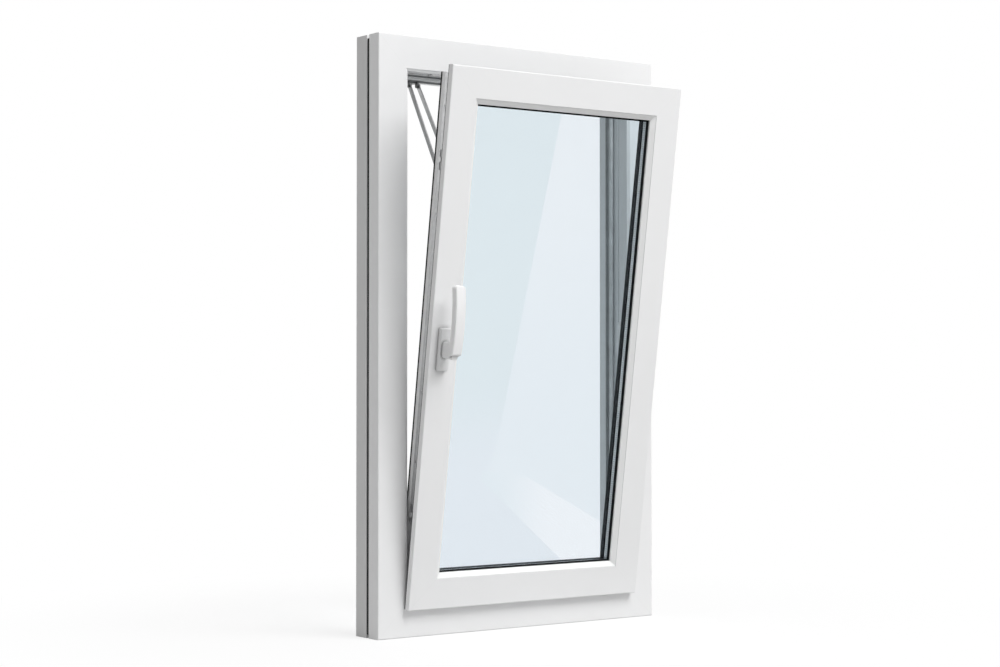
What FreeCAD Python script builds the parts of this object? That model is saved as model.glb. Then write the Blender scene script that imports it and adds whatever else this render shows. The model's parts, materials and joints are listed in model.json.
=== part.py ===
import FreeCAD, Part

import math
import os

# A white plastic tilt and turn window, its sash tipped into the room.
# Row frame: +X to the right seen from the room, +Y out of doors, +Z up.
# The origin is on the sill's underside, half way along it and in front of its groove.
# All sizes are in millimetres.

# Frame: four mitred bars with a rebate on the inside and a groove on the outside.
frame_width = 600.0
frame_height = 1020.0
frame_depth = 70.0
origin_back = 15.0         # origin, behind the frame's room face
frame_face = 56.0          # flat room face of each bar
land_width = 4.0           # sloping land that the closed sash presses on
land_step = 0.8
land_depth = 2.6
leg_height = 10.0          # outer leg, past the floor of the rebate
leg_depth = 24.0
side_groove_start = 29.5   # groove around the outside, from the room face
side_groove_width = 7.5
side_groove_depth = 6.0
keep_channel_start = 10.0  # shallow channel for the keeps, from the room face
keep_channel_width = 18.0
keep_channel_depth = 1.5

# Radii of the extruded profiles.
corner_radius = 1.6
soft_radius = 1.0
arris_radius = 0.5

# Drain slots low in the sill's outer face.
drain_slot_length = 32.0
drain_slot_height = 5.0
drain_slot_depth = 5.0
drain_slot_rise = 18.0
drain_slot_inset = 130.0   # from the frame's side to the middle of a slot

# Sash: four mitred bars with a lip over the frame and a rebate for the glass.
lip_cover = 4.0            # how far the lip reaches over the frame's flat face
lip_reach = 12.5           # how far the lip stands past the sash's body
lip_thickness = 12.0
lip_gap = 3.5              # from the frame's face to the closed lip
seal_gap = 11.5            # from the closed sash's back to the frame's leg
sash_face = 52.0
sash_heel_radius = 2.0
leg_flat = 4.5             # flat inner face of the outer leg, before its slope
leg_slope_run = 10.0       # how far the leg's inner face slopes away to the back
hardware_groove_start = 25.0
hardware_groove_width = 14.0
hardware_groove_depth = 2.5
tilt_angle = 8.2

# Line about which the sash tips: in the gap over the sill's rebate.
tilt_axis_back = 25.5      # from the frame's room face
tilt_axis_rise = 2.0       # above the floor of the rebate

# Glazing.
bead_width = 9.0
bead_step = 0.4
bead_drop = 6.5            # how far the bead slopes back to the glass
pane_thickness = 4.0
pane_gap = 10.0
pane_edge_gap = 2.5        # from the edge of the glass to the rebate
gasket_thickness = 3.5
gasket_proud = 0.8         # rubber that shows past the bead
gasket_width = 5.5
gasket_cover_end = 0.5     # from the outer gasket's cover to the leg's slope
spacer_width = 7.0
spacer_corner = 1.5
glass_setback = 13.0       # from the sash's room face to the first pane

# Rubber seals: on the frame's leg, behind the sash's lip and on the sash's back.
seal_stem_width = 3.0
seal_stem_depth = 3.0
frame_seal_inset = 5.0     # from the leg's tip to the middle of its seal
frame_seal_height = 8.0
frame_seal_width = 6.0
frame_seal_radius = 2.4
lip_seal_inset = 6.2       # from the lip's edge to the middle of its seal
lip_seal_height = 2.0
lip_seal_width = 4.5
lip_seal_radius = 1.1
lip_seal_skirt_start = 0.6  # from the lip's edge
lip_seal_skirt_height = 1.4
back_seal_inset = 3.8      # from the edge of the sash's back to the middle of its seal
back_seal_height = 3.0
back_seal_width = 5.6
back_seal_radius = 1.0

# Black tape in the outer groove of the two jambs.
groove_tape_recess = 1.5

# Handle on the left stile, pointing up as it does when the sash is tilted.
handle_height = 497.0
handle_inset = 24.5        # from the sash's left edge
handle_base_width = 21.0
handle_base_height = 72.0
handle_base_depth = 8.0
handle_base_slope = 1.5
handle_base_radius = 2.5
lever_width = 20.0
lever_thickness = 12.0
lever_length = 119.0
lever_below_axis = 9.0
lever_foot_reach = 44.5    # from the sash's face to the lever's front, at its foot
lever_bow_reach = 47.5     # half way along
lever_tip_reach = 40.5
lever_foot_slope = 5.0
lever_corner_radius = 6.0
lever_edge_radius = 2.5
neck_width = 12.0
neck_height = 28.0
neck_radius = 5.0

# Two flat stay arms at the top left, from under the head to a rail on the stile's back.
arm_thickness = 2.0
arm_width = 8.0
arm_side_gap = 0.3         # between an arm and the plates beside it
arm_hole_gap = 0.1         # between an arm's hole and its pin
arm_spacing = 18.0
second_arm_inset = 3.2     # from the stile's inner edge
arm_pivot_ahead = 1.0      # upper pivot, in front of the frame's leg
arm_pivot_drop = 7.2       # upper pivot, below the head's leg
first_foot_drop = 186.0    # lower pivot, below the head's leg along the closed sash
second_foot_drop = 168.0
arm_foot_stand = 7.0       # lower pivot, behind the stile's back
arm_pin_radius = 2.4
pin_head_radius = 3.6
pin_head_thickness = 1.2
bracket_thickness = 2.5
bracket_margin = 3.0
bracket_front_gap = 1.0    # from the leg's front to the bracket
bracket_back_gap = 3.0     # from the bracket to the frame's outer face
ear_radius = 4.0
rail_thickness = 1.5
rail_past_foot = 30.0      # rail above the upper foot and below the lower one

# Bearings in the gap over the sill, on which the sash stands and tips.
bearing_inset = 22.0       # from the side of the frame's opening
bearing_length = 60.0
bearing_barrel_radius = 1.6
sash_plate_width = 19.0
fit_gap = 0.2              # between hardware and the sides of its channel

# Faceplate in the sash's groove, with locking cams that slide in its slots.
cam_slot_length = 34.0
cam_slot_width = 6.6
cam_slot_depth = 1.2
cam_stem_radius = 3.0
cam_head_radius = 4.6
cam_head_thickness = 1.6
cam_stand = 3.2            # from the faceplate to the cam's top

# Keeps in the frame's channel, behind whose lips the cams lock.
keep_length = 62.0
keep_lip_length = 36.0
keep_lip_slope = 4.0
keep_lip_thickness = 2.0
keep_lip_height = 2.4
keep_side_inset = 210.0    # from the frame's ends to the keeps of a jamb
keep_head_inset = 150.0    # from the frame's left side to the head's keep

# Tilt stay: a flat arm from the frame's top right corner to a slider on the sash's top.
top_pivot_inset = 16.0     # from the side of the frame's opening
top_bearing_length = 40.0
top_boss_radius = 7.0
top_arm_length = 240.0
top_arm_width = 14.0
top_arm_thickness = 1.8
top_arm_drop = 2.1         # from the rebate's floor to the arm
top_pin_radius = 3.0
top_hole_gap = 0.3
top_swing_gap = 1.2        # between the arm and its slider, which tips with the sash
slider_length = 44.0
slider_width = 9.0
slider_thickness = 1.2

# Worked out from the sizes above.
quarter_turn = 90.0
room_y = -origin_back
left_x = -frame_width / 2
rebate_floor = frame_face + land_width
leg_tip = rebate_floor + leg_height
leg_front = frame_depth - leg_depth
channel_floor = rebate_floor - keep_channel_depth
channel_end = keep_channel_start + keep_channel_width
lip_edge = frame_face - lip_cover
sash_width = frame_width - 2 * lip_edge
sash_height = frame_height - 2 * lip_edge
sash_depth = leg_front - seal_gap + lip_gap + lip_thickness
sash_left_x = left_x + lip_edge
sash_room_y = room_y - lip_gap - lip_thickness
sash_back_y = sash_room_y + sash_depth
body_edge = lip_reach
groove_floor = body_edge + hardware_groove_depth
groove_end = hardware_groove_start + hardware_groove_width
groove_middle = hardware_groove_start + hardware_groove_width / 2
leg_inner = sash_face + bead_width
second_pane_start = glass_setback + pane_thickness + pane_gap
glass_back = second_pane_start + pane_thickness
leg_start = glass_back + gasket_thickness
leg_slope_start = leg_start + leg_flat
tilt_axis_y = room_y + tilt_axis_back
tilt_axis_z = rebate_floor + tilt_axis_rise
arm_pivot_y = room_y + leg_front - arm_pivot_ahead
under_leg = frame_height - leg_tip
arm_pivot_z = under_leg - arm_pivot_drop
second_arm_x = sash_left_x + leg_inner - second_arm_inset
first_arm_x = second_arm_x - arm_spacing
sash_plate_thickness = body_edge + lip_edge - tilt_axis_z - bearing_barrel_radius
frame_place = (frame_width, frame_height, left_x, room_y, 0)
sash_place = (sash_width, sash_height, sash_left_x, sash_room_y, lip_edge)

ORIGIN = FreeCAD.Vector(0, 0, 0)
ACROSS = FreeCAD.Vector(1, 0, 0)
INWARD = FreeCAD.Vector(0, 1, 0)
UP = FreeCAD.Vector(0, 0, 1)

parts = {}


def outline(corners):
    """Closed wire in the XY plane through (x, y, radius) corners, the rounded ones as arcs."""
    edges = []
    last = None
    first = None
    count = len(corners)
    for index, (x, y, radius) in enumerate(corners):
        here = FreeCAD.Vector(x, y, 0)
        before = FreeCAD.Vector(corners[index - 1][0], corners[index - 1][1], 0)
        following = corners[(index + 1) % count]
        after = FreeCAD.Vector(following[0], following[1], 0)
        back = (before - here).normalize()
        ahead = (after - here).normalize()
        if radius > 0:
            half_angle = back.getAngle(ahead) / 2
            run = radius / math.tan(half_angle)
            start = here + back * run
            end = here + ahead * run
            to_centre = (back + ahead).normalize()
            middle = here + to_centre * (radius / math.sin(half_angle) - radius)
            arc = Part.Arc(start, middle, end).toShape()
        else:
            start = here
            end = here
            arc = None
        if last is not None:
            edges.append(Part.LineSegment(last, start).toShape())
        else:
            first = start
        if arc is not None:
            edges.append(arc)
        last = end
    edges.append(Part.LineSegment(last, first).toShape())
    return Part.Wire(edges)


def mitred_bar(section, length):
    """Bar standing along +Z from the origin, its section's x inward, ends cut at 45 degrees."""
    face = Part.Face(outline(section))
    bar = face.extrude(UP * length)
    limits = bar.BoundBox
    reach = limits.XMax
    start = limits.XMin
    corners = [
        FreeCAD.Vector(start, 0, start),
        FreeCAD.Vector(reach, 0, reach),
        FreeCAD.Vector(reach, 0, length - reach),
        FreeCAD.Vector(start, 0, length - start),
    ]
    margin = limits.YLength
    blade = Part.Face(Part.makePolygon(corners + corners[:1]))
    blade.translate(INWARD * (limits.YMin - margin))
    return bar.common(blade.extrude(INWARD * (limits.YLength + 2 * margin)))


def on_side(shape, side, place):
    """A shape made beside a bar's foot, x inward and z along the bar, moved to its side.

    The left bar starts at the bottom, the top one on the left, and so on clockwise.
    """
    width, height, x, y, z = place
    turn, foot = {
        "left": (0, FreeCAD.Vector(x, y, z)),
        "bottom": (-quarter_turn, FreeCAD.Vector(x + width, y, z)),
        "right": (2 * quarter_turn, FreeCAD.Vector(x + width, y, z + height)),
        "top": (quarter_turn, FreeCAD.Vector(x, y, z + height)),
    }[side]
    shape.rotate(ORIGIN, INWARD, turn)
    shape.translate(foot)
    return shape


def ring_bars(section, place):
    """Four mitred bars round a rectangle, by side."""
    width, height = place[:2]
    lengths = {"left": height, "bottom": width, "right": height, "top": width}
    return {
        side: on_side(mitred_bar(section, length), side, place)
        for side, length in lengths.items()
    }


def ring(section, place):
    """The same four bars joined into one closed ring."""
    bars = list(ring_bars(section, place).values())
    return bars[0].fuse(bars[1:]).removeSplitter()


def box(x0, x1, y0, y1, z0, z1):
    """Rectangular block between two corners."""
    return Part.makeBox(x1 - x0, y1 - y0, z1 - z0, FreeCAD.Vector(x0, y0, z0))


def cylinder(radius, length, start, direction):
    """Round bar from a point, along a direction."""
    return Part.makeCylinder(radius, length, start, direction)


def tipped(shape):
    """A shape of the closed sash, moved to where the tilted sash has it."""
    moved = shape.copy()
    moved.rotate(FreeCAD.Vector(0, tilt_axis_y, tilt_axis_z), ACROSS, tilt_angle)
    return moved


def tipped_point(x, y, z):
    """Where a point of the closed sash is once the sash is tilted."""
    turn = FreeCAD.Rotation(ACROSS, tilt_angle)
    pivot = FreeCAD.Vector(0, tilt_axis_y, tilt_axis_z)
    return pivot + turn.multVec(FreeCAD.Vector(x, y, z) - pivot)


def frame_section():
    """Frame bar: x runs in from the outer edge, y back from the room face."""
    side_groove_end = side_groove_start + side_groove_width
    stem = seal_stem_width / 2
    seal_middle = leg_tip - frame_seal_inset
    return [
        (0, 0, corner_radius),
        (frame_face, 0, arris_radius),
        (frame_face, land_step, 0),
        (rebate_floor, land_depth, soft_radius),
        (rebate_floor, keep_channel_start, 0),
        (channel_floor, keep_channel_start, 0),
        (channel_floor, channel_end, 0),
        (rebate_floor, channel_end, 0),
        (rebate_floor, leg_front, 0),
        (seal_middle - stem, leg_front, 0),
        (seal_middle - stem, leg_front + seal_stem_depth, 0),
        (seal_middle + stem, leg_front + seal_stem_depth, 0),
        (seal_middle + stem, leg_front, 0),
        (leg_tip, leg_front, soft_radius),
        (leg_tip, frame_depth, corner_radius),
        (0, frame_depth, corner_radius),
        (0, side_groove_end, 0),
        (side_groove_depth, side_groove_end, 0),
        (side_groove_depth, side_groove_start, 0),
        (0, side_groove_start, 0),
    ]


def sash_section():
    """Sash bar: x runs in from the lip's edge, y back from the room face."""
    stem = seal_stem_width / 2
    back_seal = body_edge + back_seal_inset
    return [
        (0, 0, corner_radius),
        (sash_face, 0, arris_radius),
        (sash_face, leg_start, 0),
        (leg_inner, leg_start, 0),
        (leg_inner, leg_slope_start, soft_radius),
        (leg_inner - leg_slope_run, sash_depth, corner_radius),
        (back_seal + stem, sash_depth, 0),
        (back_seal + stem, sash_depth - seal_stem_depth, 0),
        (back_seal - stem, sash_depth - seal_stem_depth, 0),
        (back_seal - stem, sash_depth, 0),
        (body_edge, sash_depth, sash_heel_radius),
        (body_edge, groove_end, 0),
        (groove_floor, groove_end, 0),
        (groove_floor, hardware_groove_start, 0),
        (body_edge, hardware_groove_start, 0),
        (body_edge, lip_thickness, 0),
        (lip_seal_inset + stem, lip_thickness, 0),
        (lip_seal_inset + stem, lip_thickness - seal_stem_depth, 0),
        (lip_seal_inset - stem, lip_thickness - seal_stem_depth, 0),
        (lip_seal_inset - stem, lip_thickness, 0),
        (0, lip_thickness, corner_radius),
    ]


def bead_section():
    """Glazing bead, its sloping front between the sash's face and the glass."""
    foot = glass_setback - gasket_thickness
    return [
        (sash_face, bead_step, bead_step),
        (leg_inner, bead_drop, soft_radius),
        (leg_inner, foot, 0),
        (sash_face, foot, 0),
    ]


def inner_gasket_section():
    """Rubber between the bead and the first pane."""
    edge = leg_inner + gasket_proud
    front = glass_setback - gasket_thickness
    return [
        (edge - gasket_width, front, 0),
        (edge, front, 0),
        (edge, glass_setback, 0),
        (edge - gasket_width, glass_setback, 0),
    ]


def outer_gasket_section():
    """Rubber between the second pane and the sash's outer leg, with a cover along the leg."""
    edge = leg_inner + gasket_proud
    cover_end = leg_slope_start - gasket_cover_end
    return [
        (edge - gasket_width, glass_back, 0),
        (edge, glass_back, 0),
        (edge, cover_end, 0),
        (leg_inner, cover_end, 0),
        (leg_inner, leg_start, 0),
        (edge - gasket_width, leg_start, 0),
    ]


def spacer_section():
    """Hollow metal spacer between the panes, built solid."""
    front = glass_setback + pane_thickness
    edge = sash_face + pane_edge_gap
    inner = edge + spacer_width
    return [
        (edge, front, 0),
        (inner - spacer_corner, front, 0),
        (inner, front + spacer_corner, 0),
        (inner, second_pane_start - spacer_corner, 0),
        (inner - spacer_corner, second_pane_start, 0),
        (edge, second_pane_start, 0),
    ]


def frame_seal_section():
    """Seal on the frame's leg: a stem in its slot and a soft round head."""
    middle = leg_tip - frame_seal_inset
    stem = seal_stem_width / 2
    head = frame_seal_width / 2
    front = leg_front - frame_seal_height
    return [
        (middle - stem, leg_front + seal_stem_depth, 0),
        (middle - stem, leg_front, 0),
        (middle - head, leg_front, 0),
        (middle - head, front, frame_seal_radius),
        (middle + head, front, frame_seal_radius),
        (middle + head, leg_front, 0),
        (middle + stem, leg_front, 0),
        (middle + stem, leg_front + seal_stem_depth, 0),
    ]


def lip_seal_section():
    """Seal behind the sash's lip: a stem in its slot, a soft head and a skirt to the lip's edge."""
    stem = seal_stem_width / 2
    head = lip_seal_width / 2
    skirt_back = lip_thickness + lip_seal_skirt_height
    return [
        (lip_seal_inset - stem, lip_thickness - seal_stem_depth, 0),
        (lip_seal_inset + stem, lip_thickness - seal_stem_depth, 0),
        (lip_seal_inset + stem, lip_thickness, 0),
        (lip_seal_inset + head, lip_thickness, 0),
        (lip_seal_inset + head, lip_thickness + lip_seal_height, lip_seal_radius),
        (lip_seal_inset - head, lip_thickness + lip_seal_height, 0),
        (lip_seal_inset - head, skirt_back, 0),
        (lip_seal_skirt_start, skirt_back, arris_radius),
        (lip_seal_skirt_start, lip_thickness, 0),
        (lip_seal_inset - stem, lip_thickness, 0),
    ]


def back_seal_section():
    """Seal on the sash's back, near its outer edge."""
    middle = body_edge + back_seal_inset
    stem = seal_stem_width / 2
    head = back_seal_width / 2
    back = sash_depth + back_seal_height
    return [
        (middle - stem, sash_depth - seal_stem_depth, 0),
        (middle + stem, sash_depth - seal_stem_depth, 0),
        (middle + stem, sash_depth, 0),
        (middle + head, sash_depth, 0),
        (middle + head, back, back_seal_radius),
        (middle - head, back, back_seal_radius),
        (middle - head, sash_depth, 0),
        (middle - stem, sash_depth, 0),
    ]


def drain_slot(x):
    """Slot with round ends, cut into the sill's outer face."""
    radius = drain_slot_height / 2
    straight = drain_slot_length / 2 - radius
    back = room_y + frame_depth
    z = drain_slot_rise + radius
    slot = box(
        x - straight, x + straight, back - drain_slot_depth, back,
        z - radius, z + radius,
    )
    for end in (x - straight, x + straight):
        start = FreeCAD.Vector(end, back, z)
        slot = slot.fuse(cylinder(radius, drain_slot_depth, start, INWARD * -1))
    return slot


def build_frame():
    """The four frame bars, the seal on their outer leg and the tape in the jambs' groove."""
    names = {
        "left": "frame_left_jamb",
        "right": "frame_right_jamb",
        "top": "frame_head",
        "bottom": "frame_sill",
    }
    bars = ring_bars(frame_section(), frame_place)
    for x in (left_x + drain_slot_inset, -left_x - drain_slot_inset):
        bars["bottom"] = bars["bottom"].cut(drain_slot(x))
    for side, name in names.items():
        parts[name] = bars[side]
    parts["frame_seal"] = ring(frame_seal_section(), frame_place)
    for side in ("left", "right"):
        tape = box(
            groove_tape_recess, side_groove_depth,
            side_groove_start, side_groove_start + side_groove_width,
            side_groove_depth, frame_height - side_groove_depth,
        )
        parts["groove_tape_" + side] = on_side(tape, side, frame_place)


def build_sash():
    """The four sash bars and the seals on their lip and back."""
    names = {
        "left": "sash_left_stile",
        "right": "sash_right_stile",
        "top": "sash_top_rail",
        "bottom": "sash_bottom_rail",
    }
    bars = ring_bars(sash_section(), sash_place)
    for side, name in names.items():
        parts[name] = tipped(bars[side])
    parts["sash_seal"] = tipped(ring(lip_seal_section(), sash_place))
    parts["sash_back_seal"] = tipped(ring(back_seal_section(), sash_place))


def build_glazing():
    """Beads, gaskets, spacer and the two panes."""
    bars = ring_bars(bead_section(), sash_place)
    for side in ("left", "right", "top", "bottom"):
        parts["glazing_bead_" + side] = tipped(bars[side])
    parts["inner_glazing_gasket"] = tipped(ring(inner_gasket_section(), sash_place))
    parts["outer_glazing_gasket"] = tipped(ring(outer_gasket_section(), sash_place))
    parts["glass_spacer"] = tipped(ring(spacer_section(), sash_place))
    edge = sash_face + pane_edge_gap
    starts = {"inner_pane": glass_setback, "outer_pane": second_pane_start}
    for name, start in starts.items():
        front = sash_room_y + start
        pane = box(
            sash_left_x + edge, sash_left_x + sash_width - edge,
            front, front + pane_thickness,
            lip_edge + edge, lip_edge + sash_height - edge,
        )
        parts[name] = tipped(pane)


def rounded_rectangle(width, height, radius):
    """Outline centred on the origin, with all four corners rounded."""
    half = width / 2
    tall = height / 2
    return outline([
        (-half, -tall, radius), (half, -tall, radius), (half, tall, radius), (-half, tall, radius),
    ])


def handle_base():
    """Chamfered plate on the stile, under the lever."""
    straight = handle_base_depth - handle_base_slope
    wide = rounded_rectangle(handle_base_width, handle_base_height, handle_base_radius)
    narrow = rounded_rectangle(
        handle_base_width - 2 * handle_base_slope,
        handle_base_height - 2 * handle_base_slope,
        handle_base_radius,
    )
    plate = Part.Face(wide).extrude(UP * straight)
    wide.translate(UP * straight)
    narrow.translate(UP * handle_base_depth)
    return plate.fuse(Part.makeLoft([wide, narrow], True)).removeSplitter()


def handle_lever():
    """Neck and bowed lever in one casting; x across, y up the lever, z out from the sash."""
    foot = -lever_below_axis
    tip = foot + lever_length
    middle = (foot + tip) / 2
    # The lever's side view, in its own plane: x out from the sash, y up the lever.
    front = [
        FreeCAD.Vector(lever_foot_reach, foot + lever_foot_slope, 0),
        FreeCAD.Vector(lever_bow_reach, middle, 0),
        FreeCAD.Vector(lever_tip_reach, tip, 0),
    ]
    behind = ACROSS * lever_thickness
    back = [
        FreeCAD.Vector(lever_foot_reach, foot, 0) - behind, front[1] - behind, front[2] - behind,
    ]
    side = Part.Wire([
        Part.Arc(*front).toShape(),
        Part.LineSegment(front[2], back[2]).toShape(),
        Part.Arc(*reversed(back)).toShape(),
        Part.LineSegment(back[0], front[0]).toShape(),
    ])
    lever = Part.Face(side).extrude(UP * lever_width)
    corners = [
        edge for edge in lever.Edges
        if edge.BoundBox.ZLength < arris_radius and edge.BoundBox.YMin > tip - arris_radius
    ]
    lever = lever.makeFillet(lever_corner_radius, corners)
    front_face = max(lever.Faces, key=lambda face: face.CenterOfMass.x)
    lever = lever.makeFillet(lever_edge_radius, front_face.Edges)
    lever.rotate(ORIGIN, INWARD, -quarter_turn)
    lever.translate(ACROSS * (lever_width / 2))
    neck = Part.Face(rounded_rectangle(neck_width, neck_height, neck_radius))
    neck = neck.extrude(UP * (lever_foot_reach - lever_thickness / 2 - handle_base_depth))
    neck.translate(UP * handle_base_depth)
    return neck.fuse(lever)


def build_handle():
    """Base plate and lever on the left stile."""
    x = sash_left_x + handle_inset
    for name, shape in (("handle_base", handle_base()), ("handle_lever", handle_lever())):
        shape.rotate(ORIGIN, ACROSS, quarter_turn)
        shape.translate(FreeCAD.Vector(x, sash_room_y, handle_height))
        parts[name] = tipped(shape)


def stay_arm(x, top, foot):
    """Flat arm with round ends and two holes, thin along X, from its upper pivot to its foot."""
    radius = arm_width / 2
    along = foot - top
    length = along.Length
    start = x - arm_thickness / 2
    bar = box(start, start + arm_thickness, top.y - radius, top.y + radius, top.z - length, top.z)
    hole = arm_pin_radius + arm_hole_gap
    for z in (top.z, top.z - length):
        bar = bar.fuse(cylinder(radius, arm_thickness, FreeCAD.Vector(start, top.y, z), ACROSS))
    for z in (top.z, top.z - length):
        bar = bar.cut(cylinder(hole, arm_thickness, FreeCAD.Vector(start, top.y, z), ACROSS))
    bar = bar.removeSplitter()
    swing = math.degrees(math.atan2(-along.y, -along.z))
    bar.rotate(FreeCAD.Vector(x, top.y, top.z), ACROSS, -swing)
    return bar


def pivot_pin(x, y, z):
    """Pin with a head, from the ear on an arm's left side through the arm."""
    start = x - arm_thickness / 2 - arm_side_gap
    reach = arm_thickness + 2 * arm_side_gap
    shank = cylinder(arm_pin_radius, reach, FreeCAD.Vector(start, y, z), ACROSS)
    head_start = FreeCAD.Vector(start + reach, y, z)
    return shank.fuse(cylinder(pin_head_radius, pin_head_thickness, head_start, ACROSS))


def ear(x, y, z, base_y, base_z):
    """Plate on an arm's left side, from the pivot (y, z) square to a base in Y or in Z."""
    end = x - arm_thickness / 2 - arm_side_gap
    start = end - bracket_thickness
    eye = cylinder(ear_radius, bracket_thickness, FreeCAD.Vector(start, y, z), ACROSS)
    if base_y is None:
        web = box(start, end, y - ear_radius, y + ear_radius, z, base_z)
    else:
        web = box(start, end, base_y, y, z - ear_radius, z + ear_radius)
    return eye.fuse(web)


def build_stays():
    """Bracket under the head, two arms, and the rail with its ears on the stile's back."""
    arm_xs = (first_arm_x, second_arm_x)
    feet = (under_leg - first_foot_drop, under_leg - second_foot_drop)
    side = arm_thickness / 2 + arm_side_gap
    plate_start = first_arm_x - side - bracket_thickness - bracket_margin
    plate_end = second_arm_x + side + pin_head_thickness
    bracket_bottom = under_leg - bracket_thickness
    bracket = box(
        plate_start, plate_end,
        room_y + leg_front + bracket_front_gap, room_y + frame_depth - bracket_back_gap,
        bracket_bottom, under_leg,
    )
    rail = box(
        plate_start, plate_end,
        sash_back_y, sash_back_y + rail_thickness,
        min(feet) - rail_past_foot, max(feet) + rail_past_foot,
    )
    foot_y = sash_back_y + arm_foot_stand
    names = ("stay_arm_left", "stay_arm_right")
    for name, x, foot in zip(names, arm_xs, feet):
        top = FreeCAD.Vector(x, arm_pivot_y, arm_pivot_z)
        bracket = bracket.fuse(ear(x, arm_pivot_y, arm_pivot_z, None, under_leg - arris_radius))
        bracket = bracket.fuse(pivot_pin(x, arm_pivot_y, arm_pivot_z))
        rail = rail.fuse(ear(x, foot_y, foot, sash_back_y + arris_radius, None))
        rail = rail.fuse(pivot_pin(x, foot_y, foot))
        parts[name] = stay_arm(x, top, tipped_point(x, foot_y, foot))
    parts["stay_bracket"] = bracket.removeSplitter()
    parts["stay_rail"] = tipped(rail.removeSplitter())


def channel_plate(length, thickness):
    """Plate that fills the frame's channel: x inward, y back from the room face, z along."""
    return box(
        rebate_floor - thickness, rebate_floor,
        keep_channel_start + fit_gap, channel_end - fit_gap,
        -length / 2, length / 2,
    )


def build_bearings():
    """Plates with a barrel in the sill's channel, and the sash's plates that stand on them."""
    half = bearing_length / 2
    inset = rebate_floor + bearing_inset + half
    places = {"corner": inset, "tilt": frame_width - inset}
    for name, along in places.items():
        plate = channel_plate(bearing_length, keep_channel_depth)
        web = box(
            channel_floor, rebate_floor + tilt_axis_rise,
            tilt_axis_back - bearing_barrel_radius, tilt_axis_back + bearing_barrel_radius,
            -half, half,
        )
        barrel_start = FreeCAD.Vector(rebate_floor + tilt_axis_rise, tilt_axis_back, -half)
        barrel = cylinder(bearing_barrel_radius, bearing_length, barrel_start, UP)
        whole = plate.fuse([web, barrel]).removeSplitter()
        whole.translate(UP * along)
        parts[name + "_bearing"] = on_side(whole, "bottom", frame_place)
        under = lip_edge + body_edge
        x = -left_x - along
        cap = box(
            x - half, x + half, sash_back_y - sash_plate_width, sash_back_y - sash_heel_radius,
            under - sash_plate_thickness, under,
        )
        parts["sash_" + name + "_plate"] = tipped(cap)


def faceplate_section():
    """Steel strip that fills the sash's hardware groove."""
    return [
        (body_edge, hardware_groove_start + fit_gap, 0),
        (groove_floor, hardware_groove_start + fit_gap, 0),
        (groove_floor, groove_end - fit_gap, 0),
        (body_edge, groove_end - fit_gap, 0),
    ]


def cam_places():
    """Side of the sash and distance along its bar of each locking cam, by name."""
    low = keep_side_inset - lip_edge
    return {
        "left_lower": ("left", low),
        "left_upper": ("left", sash_height - low),
        "right": ("right", sash_height / 2),
        "top": ("top", keep_head_inset - lip_edge),
    }


def cam_slot():
    """Slot in the faceplate, along z, in which a cam slides."""
    half_width = cam_slot_width / 2
    half_length = cam_slot_length / 2
    return box(
        body_edge, body_edge + cam_slot_depth,
        groove_middle - half_width, groove_middle + half_width, -half_length, half_length,
    )


def locking_cam():
    """Mushroom cam that stands on the slot's floor, its axis along -X."""
    stem_length = cam_slot_depth + cam_stand - cam_head_thickness
    floor = FreeCAD.Vector(body_edge + cam_slot_depth, groove_middle, 0)
    stem = cylinder(cam_stem_radius, stem_length, floor, ACROSS * -1)
    head_start = floor - ACROSS * stem_length
    head = cylinder(cam_head_radius, cam_head_thickness, head_start, ACROSS * -1)
    return stem.fuse(head)


def build_locking():
    """Faceplate round the sash, its cams, and the keeps on the frame."""
    strip = ring(faceplate_section(), sash_place)
    for name, (side, along) in cam_places().items():
        slot = cam_slot()
        slot.translate(UP * along)
        strip = strip.cut(on_side(slot, side, sash_place))
        cam = locking_cam()
        cam.translate(UP * along)
        parts["cam_" + name] = tipped(on_side(cam, side, sash_place))
        keep = striker_keep()
        keep.translate(UP * (along + lip_edge))
        parts["keep_" + name] = on_side(keep, side, frame_place)
    parts["sash_faceplate"] = tipped(strip)


def striker_keep():
    """Plate in the frame's channel with a raised lip on its room side."""
    plate = channel_plate(keep_length, keep_channel_depth)
    start = keep_channel_start + fit_gap
    low = keep_lip_length / 2
    high = low - keep_lip_slope
    top = rebate_floor + keep_lip_height
    lip = Part.Face(Part.makePolygon([
        FreeCAD.Vector(x, start, z) for x, z in (
            (channel_floor, -low), (rebate_floor, -low), (top, -high),
            (top, high), (rebate_floor, low), (channel_floor, low), (channel_floor, -low),
        )
    ])).extrude(INWARD * keep_lip_thickness)
    return plate.fuse(lip).removeSplitter()


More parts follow.
